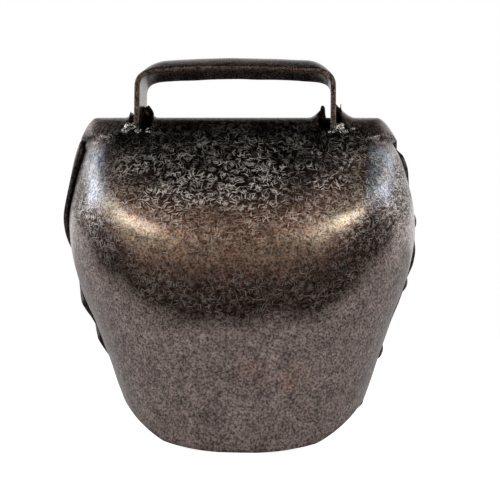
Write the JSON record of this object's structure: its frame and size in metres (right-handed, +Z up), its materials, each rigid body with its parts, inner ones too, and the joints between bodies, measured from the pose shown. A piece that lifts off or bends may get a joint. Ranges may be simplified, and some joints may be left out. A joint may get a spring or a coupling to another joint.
{
  "type": "cowbell",
  "caption": "Small cowbell folded from one steel sheet, with lapped riveted sides, a flat strap loop on the fold, and a clapper hung inside from a ring.",
  "frame": {"origin": "on the plane the rim stands on, in the middle of the footprint", "axes": "+X along the fold to the right seen from the front, +Y to the back, +Z up towards the strap loop"},
  "size_m": [0.0806, 0.0574, 0.0875],
  "materials": {
    "body_sheet": "antique copper-brown plating, fine scratches",
    "handle_strap": "antique copper-brown plating, fine scratches",
    "seam_rivet_left_1": "antique copper-brown plating, fine scratches",
    "seam_rivet_left_2": "antique copper-brown plating, fine scratches",
    "seam_rivet_left_3": "antique copper-brown plating, fine scratches",
    "seam_rivet_right_1": "antique copper-brown plating, fine scratches",
    "seam_rivet_right_2": "antique copper-brown plating, fine scratches",
    "seam_rivet_right_3": "antique copper-brown plating, fine scratches",
    "left_strap_braze": "silvery braze",
    "right_strap_braze": "silvery braze",
    "clapper_crossbar": "antique copper-brown plating, fine scratches",
    "hanger_ring": "antique copper-brown plating, fine scratches",
    "clapper_rod": "antique copper-brown plating, fine scratches",
    "clapper_bob": "antique copper-brown plating, fine scratches"
  },
  "bodies": {
    "bell": {"body_sheet": "body_sheet", "handle_strap": "handle_strap", "seam_rivet_left_1": "seam_rivet_left_1", "seam_rivet_left_2": "seam_rivet_left_2", "seam_rivet_left_3": "seam_rivet_left_3", "seam_rivet_right_1": "seam_rivet_right_1", "seam_rivet_right_2": "seam_rivet_right_2", "seam_rivet_right_3": "seam_rivet_right_3", "left_strap_braze": "left_strap_braze", "right_strap_braze": "right_strap_braze", "clapper_crossbar": "clapper_crossbar"},
    "hanger": {"hanger_ring": "hanger_ring"},
    "clapper": {"clapper_rod": "clapper_rod", "clapper_bob": "clapper_bob"}
  },
  "joints": [
    {"name": "ring_swing", "type": "hinge", "parent": "bell", "child": "hanger", "pos_m": [-0.00141, -0.00059, 0.0639], "axis": [1, 0, 0], "range_deg": [-17, 17]},
    {"name": "clapper_swing", "type": "hinge", "parent": "hanger", "child": "clapper", "pos_m": [-0.00141, -0.00059, 0.05855], "axis": [0, 1, 0], "range_deg": [-11, 11]}
  ]
}
